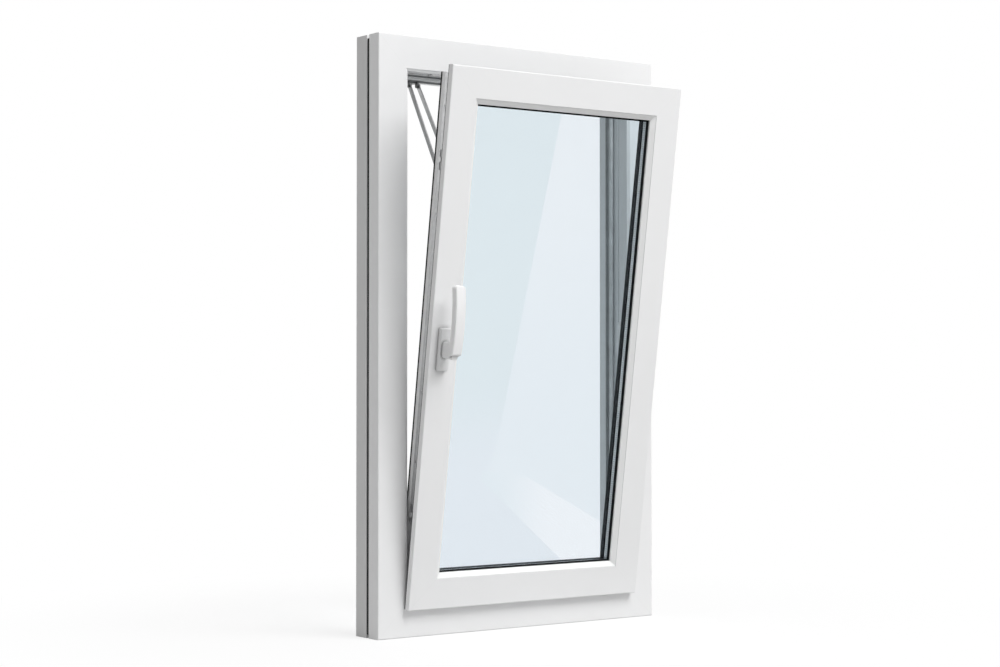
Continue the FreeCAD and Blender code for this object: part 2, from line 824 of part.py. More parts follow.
def build_tilt_stay():
    """Bearing at the head's right end, the slider on the sash's top, and the arm between."""
    rebate_z = frame_height - rebate_floor
    sash_top_z = frame_height - lip_edge - body_edge
    pivot_x = -left_x - rebate_floor - top_pivot_inset
    pivot_y = sash_room_y + groove_middle
    half = top_arm_thickness / 2
    pivot_z = rebate_z - top_arm_drop - half
    pivot = FreeCAD.Vector(pivot_x, pivot_y, pivot_z)

    bearing = channel_plate(top_bearing_length, keep_channel_depth)
    bearing.translate(UP * (frame_width - rebate_floor - top_bearing_length / 2 - fit_gap))
    bearing = on_side(bearing, "top", frame_place)
    boss_end = pivot_z + half + arm_side_gap
    boss = cylinder(top_boss_radius, rebate_z - boss_end, FreeCAD.Vector(pivot_x, pivot_y, boss_end), UP)
    pin_end = pivot_z - half - fit_gap
    pin = cylinder(top_pin_radius, rebate_z - pin_end, FreeCAD.Vector(pivot_x, pivot_y, pin_end), UP)
    parts["top_bearing"] = bearing.fuse([boss, pin]).removeSplitter()

    slider_top = sash_top_z + slider_thickness
    eye_z = slider_top + top_swing_gap + half
    eye = tipped_point(0, pivot_y, eye_z)
    run = math.sqrt(top_arm_length ** 2 - (eye.y - pivot_y) ** 2 - (eye.z - pivot_z) ** 2)
    eye_x = pivot_x - run
    slider = box(
        eye_x - slider_length / 2, eye_x + slider_length / 2,
        pivot_y - slider_width / 2, pivot_y + slider_width / 2, sash_top_z, slider_top,
    )
    stud_length = top_swing_gap + top_arm_thickness + fit_gap
    stud = cylinder(top_pin_radius, stud_length, FreeCAD.Vector(eye_x, pivot_y, slider_top), UP)
    parts["stay_slider"] = tipped(slider.fuse(stud).removeSplitter())

    radius = top_arm_width / 2
    arm = box(0, top_arm_length, -radius, radius, -half, half)
    hole = top_pin_radius + top_hole_gap
    ends = [FreeCAD.Vector(x, 0, -half) for x in (0, top_arm_length)]
    arm = arm.fuse([cylinder(radius, top_arm_thickness, end, UP) for end in ends])
    for end in ends:
        arm = arm.cut(cylinder(hole, top_arm_thickness, end, UP))
    along = (FreeCAD.Vector(eye_x, eye.y, eye.z) - pivot).normalize()
    sideways = UP.cross(along).normalize()
    turn = FreeCAD.Rotation(along, sideways, along.cross(sideways), "XYZ")
    arm = arm.removeSplitter()
    arm.Placement = FreeCAD.Placement(pivot, turn)
    parts["tilt_stay_arm"] = arm


def write_parts():
    """One file for each piece."""
    os.makedirs("parts", exist_ok=True)
    for name, shape in parts.items():
        for solid in shape.Solids:
            if not solid.isValid():
                print("not valid:", name)
        print(name, len(shape.Solids), "solids", round(shape.Volume), "mm3")
        shape.exportStep("parts/" + name + ".step")


build_frame()
build_sash()
build_glazing()
build_handle()
build_stays()
build_bearings()
build_locking()
build_tilt_stay()
write_parts()
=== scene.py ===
"""Looks of a white plastic tilt and turn window: finishes, screws, rubber trims, stage and camera."""

import json
import math

import bmesh
import bpy
from mathutils import Matrix, Vector


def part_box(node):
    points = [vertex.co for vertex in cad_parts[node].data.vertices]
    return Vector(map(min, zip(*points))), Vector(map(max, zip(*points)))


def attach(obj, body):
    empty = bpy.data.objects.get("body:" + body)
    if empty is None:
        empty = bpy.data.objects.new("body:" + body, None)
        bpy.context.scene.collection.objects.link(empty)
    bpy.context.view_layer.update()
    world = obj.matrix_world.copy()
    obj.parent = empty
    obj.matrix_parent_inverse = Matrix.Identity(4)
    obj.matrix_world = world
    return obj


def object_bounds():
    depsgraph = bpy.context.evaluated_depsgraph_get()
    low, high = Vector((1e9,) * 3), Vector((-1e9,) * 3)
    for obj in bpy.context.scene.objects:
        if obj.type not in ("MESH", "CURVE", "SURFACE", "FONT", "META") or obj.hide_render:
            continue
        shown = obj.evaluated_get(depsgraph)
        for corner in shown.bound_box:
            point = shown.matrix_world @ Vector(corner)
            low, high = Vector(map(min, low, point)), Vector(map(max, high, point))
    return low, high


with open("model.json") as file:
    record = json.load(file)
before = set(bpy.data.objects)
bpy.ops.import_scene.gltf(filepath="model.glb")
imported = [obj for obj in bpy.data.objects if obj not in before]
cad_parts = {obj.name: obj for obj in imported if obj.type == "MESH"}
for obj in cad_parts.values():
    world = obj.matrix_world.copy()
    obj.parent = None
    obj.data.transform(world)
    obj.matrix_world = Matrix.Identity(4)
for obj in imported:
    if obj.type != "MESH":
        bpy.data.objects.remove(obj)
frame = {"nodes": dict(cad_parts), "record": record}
cad_low, cad_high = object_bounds()

# All lengths are in metres, in the row frame: +X right seen from the room, +Y out of doors, +Z up.
MM = 0.001

# The sash is tipped about this line along X.
TILT = math.radians(8.2)
TILT_AXIS = Vector((0.0, 10.5 * MM, 62.0 * MM))

# Camera of the photograph.
IMAGE_WIDTH = 1000
FOCAL_PIXELS = 2054.6
SENSOR = 36.0
CAMERA_PLACE = Vector((-2.169, -2.9146, 0.447))
CAMERA_TURN = math.radians(-36.192)
CAMERA_RISE = math.radians(1.099)
CAMERA_REACH = 200.0

# Light: one large soft lamp high in front on the right, and an even world.
LAMP_AZIMUTH = math.radians(16.0)
LAMP_HEIGHT = math.radians(50.0)
LAMP_DISTANCE = 6.5
LAMP_SIZE = 4.0
LAMP_LEVEL = 0.88
WORLD_LEVEL = 0.43
WHITE = (1.0, 1.0, 1.0, 1.0)
OBJECT_MIDDLE = (cad_low + cad_high) / 2

# White floor. A share of it is lit, so that it shows the shadow near the window, and that share
# fades out between the two distances. The dull tone is what it throws back at the window.
FLOOR_HALF = 30.0
FLOOR_LIT = (0.93, 0.93, 0.93, 1.0)
FLOOR_DULL = (0.57, 0.57, 0.57, 1.0)
LIT_SHARE = 0.22
FADE_START = 0.25
FADE_END = 1.1

# Corners (x, y) of a dark cloth on the floor in front, which the glass mirrors.
DARK_CLOTH = ((-4.0, -0.22), (6.0, -0.22), (24.0, -14.0), (24.0, -28.0), (-4.0, -28.0))
CLOTH_HEIGHT = 2 * MM
CLOTH_TONE = (0.020, 0.022, 0.024, 1.0)

# Three pale cards behind the window, seen through the glass. Each has a name, its place y, the
# coordinate and the span over which its tone changes, the two tones, and its corners (x, z). The
# tones are a little above white to make up for what the glass mirrors.
# The slant and low cards glow above white to paint the bright reflection streaks on the glass.
PALE_CARDS = (
    (
        "wide_card", 0.46, "Z", (0.25, 0.45),
        ((1.041, 1.010, 1.028, 1.0), (1.000, 1.000, 1.000, 1.0)),
        ((0.05, 0.002), (0.90, 0.002), (0.90, 1.12), (0.05, 1.12)),
    ),
    (
        "slant_card", 0.455, "Z", (0.25, 0.95),
        ((1.070, 1.040, 1.048, 1.0), (1.125, 1.070, 1.068, 1.0)),
        (
            (0.474, 1.073), (0.800, 1.095), (0.660, 0.080), (0.575, 0.120), (0.364, 0.232),
            (0.263, 0.247), (0.293, 0.331),
        ),
    ),
    (
        "low_card", 0.45, "X", (0.27, 0.42),
        ((1.050, 1.030, 1.038, 1.0), (1.166, 1.100, 1.098, 1.0)),
        (
            (0.248, 0.250), (0.323, 0.241), (0.364, 0.232), (0.660, 0.080), (0.640, 0.002),
            (0.515, 0.004), (0.243, 0.232),
        ),
    ),
)

# Sections of the rubber trims: (inward from the edge of the frame or sash, y), in millimetres.
# One lies on the glass round the beads, one is folded over the sash's rear edge beside the seal,
# and one over the tip of the frame's leg.
GLASS_LIP = ((61.2, -20.4), (62.6, -19.6), (63.7, -18.1), (63.9, -17.45), (61.2, -17.45))
HEEL_LIP = (
    (12.6, 16.8), (12.0, 17.4), (12.0, 20.3), (12.6, 21.1), (13.6, 21.1), (13.6, 19.2), (12.6, 19.2),
)
LEG_LIP = (
    (68.2, 31.2), (68.2, 30.3), (70.5, 30.3), (71.0, 30.8), (71.0, 35.6), (70.5, 36.1),
    (69.8, 36.1), (69.8, 31.2),
)

# Half width, bottom and top of the closed sash and of the frame, in millimetres.
SASH_EDGES = (248.0, 52.0, 968.0)
FRAME_EDGES = (300.0, 0.0, 1020.0)

# Screw heads: raised, with a crossed recess for the driver that narrows to a point. The shoulder
# lies half way between rim and recess, at its share of the dome's height.
SCREW_RADIUS = 3.3 * MM
SCREW_RIM = 0.15 * MM
SCREW_DOME = 0.65 * MM
SCREW_SINK = 0.3 * MM
SHOULDER_SHARE = 0.75
RECESS_ARM = 1.9 * MM
RECESS_HALF_WIDTH = 0.45 * MM
RECESS_DEPTH = 1.3 * MM
RECESS_TAPER = 0.55
RECESS_POINT = 1.15
RECESS_STEPS = 3

# Each screw stands turned by this much more than the one before it.
SCREW_TURN = 0.7

# Faces that carry screws, in millimetres: the frame's rebate and the closed sash's edge.
REBATE_X = 240.0
REBATE_LOW = 60.0
REBATE_HIGH = 960.0
SASH_EDGE_X = 235.5
SASH_EDGE_LOW = 64.5
SASH_EDGE_HIGH = 955.5
STRIP_MIDDLE_Y = 1.5
PLATE_MIDDLE_Y = 4.0

# Screws of the frame, in millimetres: a pair in each keep and each bearing over the sill, one in
# the top bearing, and a pair in the stay bracket.
LEFT_KEEPS_Z = (210.0, 810.0)
RIGHT_KEEP_Z = 510.0
TOP_KEEP_X = -150.0
KEEP_PAIR = (-25.0, 25.0)
SILL_BEARINGS_X = (-188.0, 188.0)
BEARING_PAIR = (-22.0, 22.0)
TOP_BEARING_X = 207.0
BRACKET_SCREWS_X = (-208.0, -194.0)
BRACKET_Y = 44.0
BRACKET_Z = 947.5

# Screws of the sash, in millimetres: two in the stay rail and a row along each edge.
STAY_RAIL_X = -201.0
STAY_RAIL_Y = 21.0
STAY_RAIL_SCREWS_Z = (741.0, 805.0)
SIDE_SCREWS_Z = (110.0, 300.0, 420.0, 600.0, 720.0, 900.0)
TOP_SCREWS_X = (-210.0, -90.0, 75.0, 150.0, 215.0)
BOTTOM_SCREWS_X = (-120.0, 0.0, 120.0)

# Finishes, as linear colours.
FRAME_WHITE = (0.870, 0.872, 0.875, 1.0)
BEAD_WHITE = (0.890, 0.892, 0.890, 1.0)
HANDLE_WHITE = (0.900, 0.902, 0.905, 1.0)
# The base's white is darker than the lever's: painted shadow of the lever.
BASE_SHADED_WHITE = (0.780, 0.782, 0.785, 1.0)
SEAL_BLACK = (0.012, 0.012, 0.013, 1.0)
SEAL_GREY = (0.780, 0.785, 0.785, 1.0)
LIP_GREY = (0.280, 0.283, 0.286, 1.0)
GASKET_BLACK = (0.006, 0.007, 0.008, 1.0)
SPACER_GREY = (0.560, 0.575, 0.585, 1.0)
SPACER_HOLE = (0.060, 0.060, 0.060, 1.0)
ARM_ZINC = (0.490, 0.494, 0.498, 1.0)
# The stay bracket's zinc is far darker than the arms': painted shade under the head.
BRACKET_SHADED_ZINC = (0.130, 0.131, 0.133, 1.0)
# The bearings' and screws' zinc is lighter than the arms': painted light, making up for the shade on
# the faceplates in their groove.
BEARING_LIT_ZINC = (0.600, 0.605, 0.610, 1.0)
RUBBED_ZINC = (0.750, 0.750, 0.750, 1.0)
GLASS_TINT = (0.923, 0.975, 1.000, 1.0)

# Grey of the weld seams and of the painted shade on the frame's outer sides, and the dark tone of
# each material's painted shade in its inner corners.
SEAM_AND_SHADE_GREY = (0.300, 0.295, 0.285, 1.0)
PLASTIC_SHADE = (0.080, 0.080, 0.080, 1.0)
COAT_SHADE = (0.060, 0.060, 0.060, 1.0)
ZINC_SHADE = (0.070, 0.070, 0.070, 1.0)

# How far the painted shade in the plastic's inner corners reaches, and how dark it gets.
SASH_SHADE_REACH = 7 * MM
SASH_SHADE_AMOUNT = 0.7
FRAME_SHADE_REACH = 2.5 * MM
FRAME_SHADE_AMOUNT = 0.3

# Weld line at the mitres, and painted shade on the frame's outer sides behind their groove.
WELD_WIDTH = 0.45 * MM
WELD_SHARE = 0.10
SIDE_GROOVE_END = 22.0 * MM
SIDE_MARGIN = 0.2 * MM
SIDE_SHARE = 0.32

# Row of holes in the spacer: pitch, outer and inner rim of a hole, and how dark it gets.
HOLE_PITCH = 4.0 * MM
HOLE_OUTER = 0.9 * MM
HOLE_INNER = 0.6 * MM
HOLE_SHARE = 0.6

# How the pattern of fine lines is stretched, for drawn plastic and for brushed metal.
DRAWN_UPRIGHT = (1.0, 1.0, 0.01)
DRAWN_LEVEL = (0.01, 1.0, 1.0)
BRUSHED_UPRIGHT = (1.0, 1.0, 0.02)
BRUSHED_LEVEL = (0.02, 1.0, 1.0)

# Kinds of socket in the shared groups.
FLOAT = "NodeSocketFloat"
COLOUR = "NodeSocketColor"
VECTOR = "NodeSocketVector"


def add(tree, kind, settings=None, inputs=None):
    """A node with its settings; an input takes a value or another node's output."""
    made = tree.nodes.new(kind)
    for key, value in (settings or {}).items():
        setattr(made, key, value)
    for key, value in (inputs or {}).items():
        if isinstance(value, bpy.types.NodeSocket):
            tree.links.new(value, made.inputs[key])
        else:
            made.inputs[key].default_value = value
    return made


def math_node(tree, operation, first, second=0.0, third=0.0):
    """Output of a math node."""
    inputs = {0: first, 1: second, 2: third}
    return add(tree, "ShaderNodeMath", {"operation": operation}, inputs).outputs[0]


def mix_colours(tree, factor, first, second):
    """Output of a mix of two colours."""
    inputs = {0: factor, 6: first, 7: second}
    return add(tree, "ShaderNodeMix", {"data_type": "RGBA"}, inputs).outputs[2]


def new_group(name, inputs, outputs):
    """An empty node group with its named sockets: the group, its inputs and its outputs."""
    group = bpy.data.node_groups.new(name, "ShaderNodeTree")
    for label, kind, value in inputs:
        made = group.interface.new_socket(name=label, in_out="INPUT", socket_type=kind)
        made.default_value = value
    for label, kind in outputs:
        group.interface.new_socket(name=label, in_out="OUTPUT", socket_type=kind)
    entry = group.nodes.new("NodeGroupInput")
    leave = group.nodes.new("NodeGroupOutput")
    return group, entry.outputs, leave.inputs


def tone_drift_group():
    """A colour that drifts a little lighter and darker over the surface."""
    inputs = [
        ("Position", VECTOR, (0, 0, 0)), ("Colour", COLOUR, WHITE),
        ("Scale", FLOAT, 5.0), ("Spread", FLOAT, 0.02),
    ]
    group, source, result = new_group("tone_drift", inputs, [("Colour", COLOUR)])
    noise = add(group, "ShaderNodeTexNoise", None, {
        "Vector": source["Position"], "Scale": source["Scale"], "Detail": 4.0,
    })
    centred = math_node(group, "SUBTRACT", noise.outputs[0], 0.5)
    change = math_node(group, "MULTIPLY_ADD", centred, source["Spread"], 1.0)
    scaled = add(group, "ShaderNodeVectorMath", {"operation": "SCALE"}, {
        0: source["Colour"], "Scale": change,
    })
    group.links.new(scaled.outputs[0], result["Colour"])
    return group


def gloss_drift_group():
    """Roughness that varies in soft patches between two values."""
    inputs = [
        ("Position", VECTOR, (0, 0, 0)), ("Scale", FLOAT, 20.0),
        ("Low", FLOAT, 0.25), ("High", FLOAT, 0.4),
    ]
    group, source, result = new_group("gloss_drift", inputs, [("Roughness", FLOAT)])
    noise = add(group, "ShaderNodeTexNoise", None, {
        "Vector": source["Position"], "Scale": source["Scale"], "Detail": 5.0,
    })
    spread = add(group, "ShaderNodeMapRange", None, {
        "Value": noise.outputs[0], "From Min": 0.3, "From Max": 0.7,
        "To Min": source["Low"], "To Max": source["High"],
    })
    group.links.new(spread.outputs[0], result["Roughness"])
    return group


def draw_lines_group():
    """Fine lines along a drawn or brushed piece, as a height; Stretch shrinks the long direction."""
    inputs = [
        ("Position", VECTOR, (0, 0, 0)), ("Stretch", VECTOR, DRAWN_UPRIGHT),
        ("Scale", FLOAT, 800.0),
    ]
    group, source, result = new_group("draw_lines", inputs, [("Height", FLOAT)])
    stretched = add(group, "ShaderNodeVectorMath", {"operation": "MULTIPLY"}, {
        0: source["Position"], 1: source["Stretch"],
    })
    noise = add(group, "ShaderNodeTexNoise", None, {
        "Vector": stretched.outputs[0], "Scale": source["Scale"], "Detail": 3.0,
    })
    group.links.new(noise.outputs[0], result["Height"])
    return group


def pebble_group():
    """Small rounded bumps of a powder coat or a moulded rubber, as a height."""
    inputs = [("Position", VECTOR, (0, 0, 0)), ("Scale", FLOAT, 900.0)]
    group, source, result = new_group("pebble", inputs, [("Height", FLOAT)])
    cells = add(group, "ShaderNodeTexVoronoi", {"feature": "SMOOTH_F1"}, {
        "Vector": source["Position"], "Scale": source["Scale"], "Smoothness": 0.8,
    })
    broad_scale = math_node(group, "MULTIPLY", source["Scale"], 0.35)
    noise = add(group, "ShaderNodeTexNoise", None, {
        "Vector": source["Position"], "Scale": broad_scale, "Detail": 3.0,
    })
    height = math_node(group, "ADD", cells.outputs["Distance"], noise.outputs[0])
    group.links.new(height, result["Height"])
    return group


def corner_shade_group():
    """Darkens the colour in grooves and inner corners: painted shade where the surfaces close in."""
    inputs = [
        ("Colour", COLOUR, WHITE), ("Shade", COLOUR, SEAM_AND_SHADE_GREY),
        ("Reach", FLOAT, 0.004), ("Amount", FLOAT, 0.3),
    ]
    group, source, result = new_group("painted_corner_shade", inputs, [("Colour", COLOUR)])
    hollow = add(group, "ShaderNodeAmbientOcclusion", {"samples": 6}, {
        "Distance": source["Reach"],
    })
    closed = math_node(group, "SUBTRACT", 1.0, hollow.outputs["AO"])
    amount = math_node(group, "MULTIPLY", closed, source["Amount"])
    mixed = mix_colours(group, amount, source["Colour"], source["Shade"])
    group.links.new(mixed, result["Colour"])
    return group


def edge_shine_group():
    """Mask of the sharp edges of a piece, broken up as rubbed edges are."""
    inputs = [
        ("Position", VECTOR, (0, 0, 0)), ("Radius", FLOAT, 0.0006), ("Scale", FLOAT, 300.0),
    ]
    group, source, result = new_group("edge_shine", inputs, [("Mask", FLOAT)])
    rounded = add(group, "ShaderNodeBevel", {"samples": 4}, {"Radius": source["Radius"]})
    plain = add(group, "ShaderNodeNewGeometry")
    match = add(group, "ShaderNodeVectorMath", {"operation": "DOT_PRODUCT"}, {
        0: rounded.outputs[0], 1: plain.outputs["Normal"],
    })
    edge = add(group, "ShaderNodeMapRange", None, {
        "Value": match.outputs["Value"], "From Min": 0.99, "From Max": 0.85,
    })
    noise = add(group, "ShaderNodeTexNoise", None, {
        "Vector": source["Position"], "Scale": source["Scale"], "Detail": 3.0,
    })
    broken = math_node(group, "MULTIPLY", edge.outputs[0], noise.outputs[0])
    group.links.new(broken, result["Mask"])
    return group


def weld_line_group():
    """Mask of the thin cleaned weld where two bars meet at 45 degrees."""
    inputs = [
        ("Position", VECTOR, (0, 0, 0)), ("Half Width", FLOAT, 0.3),
        ("Middle", FLOAT, 0.5), ("Half Height", FLOAT, 0.5), ("Line", FLOAT, 0.0004),
    ]
    group, source, result = new_group("weld_line", inputs, [("Mask", FLOAT)])
    split = add(group, "ShaderNodeSeparateXYZ", None, {0: source["Position"]})
    across = math_node(group, "ABSOLUTE", split.outputs["X"])
    from_side = math_node(group, "SUBTRACT", source["Half Width"], across)
    lifted = math_node(group, "SUBTRACT", split.outputs["Z"], source["Middle"])
    from_middle = math_node(group, "ABSOLUTE", lifted)
    from_end = math_node(group, "SUBTRACT", source["Half Height"], from_middle)
    difference = math_node(group, "SUBTRACT", from_side, from_end)
    distance = math_node(group, "ABSOLUTE", difference)
    mask = add(group, "ShaderNodeMapRange", {"interpolation_type": "SMOOTHSTEP"}, {
        "Value": distance, "From Min": source["Line"], "From Max": 0.0,
    })
    group.links.new(mask.outputs[0], result["Mask"])
    return group


def outer_side_group():
    """Mask of the frame's outer sides behind their groove, where shade is painted."""
    inputs = [
        ("Position", VECTOR, (0, 0, 0)), ("Half Width", FLOAT, 0.3), ("Height", FLOAT, 1.0),
        ("Start", FLOAT, 0.02),
    ]
    group, source, result = new_group("outer_side", inputs, [("Mask", FLOAT)])
    split = add(group, "ShaderNodeSeparateXYZ", None, {0: source["Position"]})
    across = math_node(group, "ABSOLUTE", split.outputs["X"])
    past_side = math_node(group, "GREATER_THAN", across, source["Half Width"])
    past_head = math_node(group, "GREATER_THAN", split.outputs["Z"], source["Height"])
    outside = math_node(group, "MAXIMUM", past_side, past_head)
    behind = math_node(group, "GREATER_THAN", split.outputs["Y"], source["Start"])
    mask = math_node(group, "MULTIPLY", outside, behind)
    group.links.new(mask, result["Mask"])
    return group


TONE_DRIFT = tone_drift_group()
GLOSS_DRIFT = gloss_drift_group()
DRAW_LINES = draw_lines_group()
PEBBLE = pebble_group()
CORNER_SHADE = corner_shade_group()
EDGE_SHINE = edge_shine_group()
WELD_LINE = weld_line_group()
OUTER_SIDE = outer_side_group()


def place_group(tree, group, inputs):
    """Only output of a shared group, placed in a material with its own values."""
    return add(tree, "ShaderNodeGroup", {"node_tree": group}, inputs).outputs[0]


def new_material(name, shader_inputs):
    """A material with one principled shader: the material, its tree and the shader."""
    material = bpy.data.materials.new(name)
    material.use_nodes = True
    tree = material.node_tree
    tree.nodes.clear()
    shader = add(tree, "ShaderNodeBsdfPrincipled", None, shader_inputs)
    end = add(tree, "ShaderNodeOutputMaterial")
    tree.links.new(shader.outputs[0], end.inputs["Surface"])
    return material, tree, shader


def position(tree, tipped):
    """Position in the row frame, or on the sash's own upright plane if the piece is tipped."""
    place = add(tree, "ShaderNodeTexCoord").outputs["Object"]
    if not tipped:
        return place
    turned = add(tree, "ShaderNodeVectorRotate", {"rotation_type": "X_AXIS"}, {
        "Vector": place, "Center": TILT_AXIS, "Angle": -TILT,
    })
    return turned.outputs[0]


def drifting_tone(tree, place, colour, scale, spread):
    """A colour that drifts a little over the surface."""
    return place_group(tree, TONE_DRIFT, {
        "Position": place, "Colour": colour, "Scale": scale, "Spread": spread,
    })


def shaded_tone(tree, tone, shade_tone, reach, amount):
    """A tone with painted shade in the grooves and inner corners."""
    return place_group(tree, CORNER_SHADE, {
        "Colour": tone, "Shade": shade_tone, "Reach": reach, "Amount": amount,
    })


def fine_lines(tree, place, stretch, scale):
    """Height of the fine lines of a drawn or brushed piece."""
    return place_group(tree, DRAW_LINES, {
        "Position": place, "Stretch": stretch, "Scale": scale,
    })


def feed_colour(tree, shader, tone):
    """Feeds a tone to the shader's colour."""
    tree.links.new(tone, shader.inputs["Base Color"])


def feed_gloss(tree, shader, place, scale, low, high):
    """Feeds the shader a roughness that varies in soft patches."""
    rough = place_group(tree, GLOSS_DRIFT, {
        "Position": place, "Scale": scale, "Low": low, "High": high,
    })
    tree.links.new(rough, shader.inputs["Roughness"])


def feed_bump(tree, shader, height, strength, depth):
    """Feeds a height to the shader's normal."""
    made = add(tree, "ShaderNodeBump", None, {
        "Height": height, "Strength": strength, "Distance": depth,
    })
    tree.links.new(made.outputs[0], shader.inputs["Normal"])


def profile_plastic(name, colour, stretch, tipped, ring):
    """Smooth extruded plastic with draw lines along the bar, a weld line at its mitres, and painted
    shade in its inner corners and on the frame's outer sides.
    """
    material, tree, shader = new_material(name, {"IOR": 1.5})
    place = position(tree, tipped)
    tone = drifting_tone(tree, place, colour, scale=4.0, spread=0.03)
    # Painted shade in the inner corners; on the sash it reaches further, towards the frame.
    if tipped:
        tone = shaded_tone(tree, tone, PLASTIC_SHADE, SASH_SHADE_REACH, SASH_SHADE_AMOUNT)
    else:
        tone = shaded_tone(tree, tone, PLASTIC_SHADE, FRAME_SHADE_REACH, FRAME_SHADE_AMOUNT)
    half_width, middle, half_height = ring
    weld = place_group(tree, WELD_LINE, {
        "Position": place, "Half Width": half_width, "Middle": middle,
        "Half Height": half_height, "Line": WELD_WIDTH,
    })
    seam = math_node(tree, "MULTIPLY", weld, WELD_SHARE)
    tone = mix_colours(tree, seam, tone, SEAM_AND_SHADE_GREY)
    # Painted shade on the frame's outer sides behind their groove.
    if not tipped:
        side = place_group(tree, OUTER_SIDE, {
            "Position": place, "Half Width": half_width - SIDE_MARGIN,
            "Height": middle + half_height - SIDE_MARGIN, "Start": SIDE_GROOVE_END,
        })
        side_shade = math_node(tree, "MULTIPLY", side, SIDE_SHARE)
        tone = mix_colours(tree, side_shade, tone, SEAM_AND_SHADE_GREY)
    feed_colour(tree, shader, tone)
    feed_gloss(tree, shader, place, scale=14.0, low=0.30, high=0.40)
    lines = fine_lines(tree, place, stretch, scale=700.0)
    height = math_node(tree, "SUBTRACT", lines, weld)
    feed_bump(tree, shader, height, strength=0.12, depth=0.05 * MM)
    return material


def rubber(name, colour, roughness, gloss):
    """Moulded rubber, with a fine grain and a faint bloom."""
    material, tree, shader = new_material(name, {"IOR": 1.45, "Specular IOR Level": gloss})
    place = position(tree, False)
    feed_colour(tree, shader, drifting_tone(tree, place, colour, scale=60.0, spread=0.5))
    feed_gloss(tree, shader, place, scale=90.0, low=roughness - 0.08, high=roughness + 0.08)
    grain = place_group(tree, PEBBLE, {"Position": place, "Scale": 1500.0})
    feed_bump(tree, shader, grain, strength=0.25, depth=0.04 * MM)
    return material


def spacer_metal():
    """Satin aluminium of the spacer between the panes, with its row of fine holes."""
    material, tree, shader = new_material("spacer_aluminium", {"Metallic": 1.0})
    place = position(tree, True)
    tone = drifting_tone(tree, place, SPACER_GREY, scale=30.0, spread=0.12)
    cells = add(tree, "ShaderNodeVectorMath", {"operation": "MODULO"}, {
        0: place, 1: (HOLE_PITCH, 1.0, HOLE_PITCH),
    })
    split = add(tree, "ShaderNodeSeparateXYZ", None, {0: cells.outputs[0]})
    narrow = add(tree, "ShaderNodeMapRange", None, {
        "Value": split.outputs["Z"], "From Min": HOLE_OUTER, "From Max": HOLE_INNER,
    })
    holes = math_node(tree, "MULTIPLY", narrow.outputs[0], HOLE_SHARE)
    feed_colour(tree, shader, mix_colours(tree, holes, tone, SPACER_HOLE))
    feed_gloss(tree, shader, place, scale=40.0, low=0.38, high=0.52)
    lines = fine_lines(tree, place, BRUSHED_UPRIGHT, scale=1500.0)
    feed_bump(tree, shader, lines, strength=0.15, depth=0.03 * MM)
    return material


def clear_glass():
    """Float glass with a faint blue tint that drifts a little."""
    material, tree, shader = new_material("float_glass", {
        "Metallic": 0.0, "Transmission Weight": 1.0, "IOR": 1.5,
    })
    place = position(tree, True)
    feed_colour(tree, shader, drifting_tone(tree, place, GLASS_TINT, scale=1.5, spread=0.02))
    feed_gloss(tree, shader, place, scale=3.0, low=0.0, high=0.01)
    return material


def powder_coat(name, colour):
    """White powder coat of the handle, with a fine orange peel and painted shade in its inner
    corners.
    """
    material, tree, shader = new_material(name, {"IOR": 1.5})
    place = position(tree, True)
    tone = drifting_tone(tree, place, colour, scale=25.0, spread=0.02)
    # Painted shade in the inner corners and along the joints of base, neck and sash.
    tone = shaded_tone(tree, tone, COAT_SHADE, reach=5 * MM, amount=1.1)
    feed_colour(tree, shader, tone)
    feed_gloss(tree, shader, place, scale=50.0, low=0.30, high=0.42)
    grain = place_group(tree, PEBBLE, {"Position": place, "Scale": 1100.0})
    feed_bump(tree, shader, grain, strength=0.12, depth=0.04 * MM)
    return material


def zinc_steel(name, colour, stretch):
    """Zinc plated steel: cloudy tone, brushed lines, brighter edges and painted shade in its inner
    corners.
    """
    material, tree, shader = new_material(name, {"Metallic": 1.0})
    place = position(tree, False)
    tone = drifting_tone(tree, place, colour, scale=120.0, spread=0.35)
    edges = place_group(tree, EDGE_SHINE, {"Position": place})
    tone = mix_colours(tree, edges, tone, RUBBED_ZINC)
    # Painted shade in the inner corners.
    tone = shaded_tone(tree, tone, ZINC_SHADE, reach=3 * MM, amount=0.5)
    feed_colour(tree, shader, tone)
    feed_gloss(tree, shader, place, scale=150.0, low=0.34, high=0.52)
    lines = fine_lines(tree, place, stretch, scale=1800.0)
    feed_bump(tree, shader, lines, strength=0.2, depth=0.03 * MM)
    return material


def ring_of(*names):
    """Half width, middle height and half height of the upright ring that these bars make."""
    lows = [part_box(name)[0] for name in names]
    highs = [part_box(name)[1] for name in names]
    low_z = min(low.z for low in lows)
    high_z = max(high.z for high in highs)
    half_width = max(high.x for high in highs)
    return half_width, (low_z + high_z) / 2, (high_z - low_z) / 2


# The sash's ring is the frame's, drawn in by the same step on all four sides.
FRAME_RING = ring_of("frame_left_jamb", "frame_right_jamb", "frame_head", "frame_sill")
SASH_STEP = FRAME_RING[0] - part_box("sash_right_stile")[1].x
SASH_RING = (FRAME_RING[0] - SASH_STEP, FRAME_RING[1], FRAME_RING[2] - SASH_STEP)


def is_level(name):
    """True for a bar that lies along X."""
    return any(word in name for word in ("head", "sill", "rail", "top", "bottom"))


def plastic_finishes():
    """Plastics by slot and by whether the bar lies level."""
    plastics = {}
    for slot, colour, tipped, ring in (
        ("frame_plastic", FRAME_WHITE, False, FRAME_RING),
        ("sash_plastic", FRAME_WHITE, True, SASH_RING),
        ("bead_plastic", BEAD_WHITE, True, SASH_RING),
    ):
        upright = profile_plastic(slot + "_upright", colour, DRAWN_UPRIGHT, tipped, ring)
        level = profile_plastic(slot + "_level", colour, DRAWN_LEVEL, tipped, ring)
        plastics[slot, False] = upright
        plastics[slot, True] = level
    return plastics


